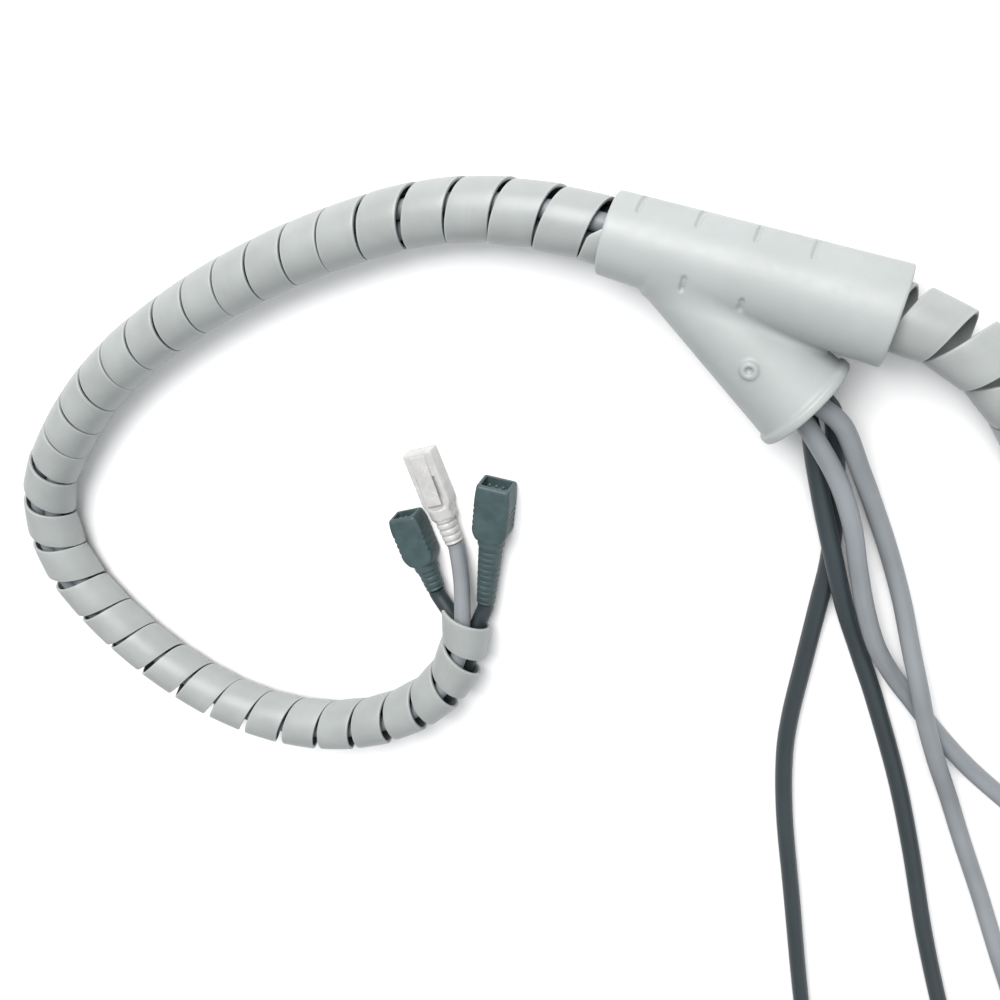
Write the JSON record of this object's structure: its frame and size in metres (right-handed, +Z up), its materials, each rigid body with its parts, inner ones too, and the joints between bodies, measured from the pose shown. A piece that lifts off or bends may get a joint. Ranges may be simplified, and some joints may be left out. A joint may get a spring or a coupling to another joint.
{
  "type": "spiral cable wrap",
  "caption": "Flexible spiral wrap tube lying in a loop round a bundle of cables, with a slip-on threading tool whose side funnel feeds the cables in.",
  "frame": {"origin": "on the floor under the middle of the box round the wrap and the threading tool", "axes": "+X along the longest side of the loop, towards the wrap's empty far end; +Y across the loop, from the cables' coils towards the wrap; +Z up from the floor"},
  "size_m": [0.5145, 0.6201, 0.0328],
  "materials": {
    "wrap_plastic": "satin extruded polyethylene, pale cool grey",
    "tool_plastic": "fine-textured injection moulding, pale cool grey",
    "dark_cable": "smooth blue-grey cable sheath",
    "grey_cable": "smooth light grey cable sheath",
    "dark_plug": "moulded dark grey-green plastic",
    "clear_plug": "milky translucent plastic"
  },
  "bodies": {
    "root": {"spiral_wrap": "wrap_plastic", "threading_tool": "tool_plastic", "dark_cable_left": "dark_cable", "dark_cable_left_coil": "dark_cable", "dark_cable_right": "dark_cable", "dark_cable_right_coil": "dark_cable", "grey_cable_left": "grey_cable", "grey_cable_left_coil": "grey_cable", "grey_cable_right": "grey_cable", "grey_cable_right_coil": "grey_cable", "dark_plug_left": "dark_plug", "dark_plug_right": "dark_plug", "network_plug": "clear_plug", "dark_far_plug_left": "dark_plug", "dark_far_plug_right": "dark_plug", "network_far_plug_left": "clear_plug", "network_far_plug_right": "clear_plug"}
  },
  "joints": []
}
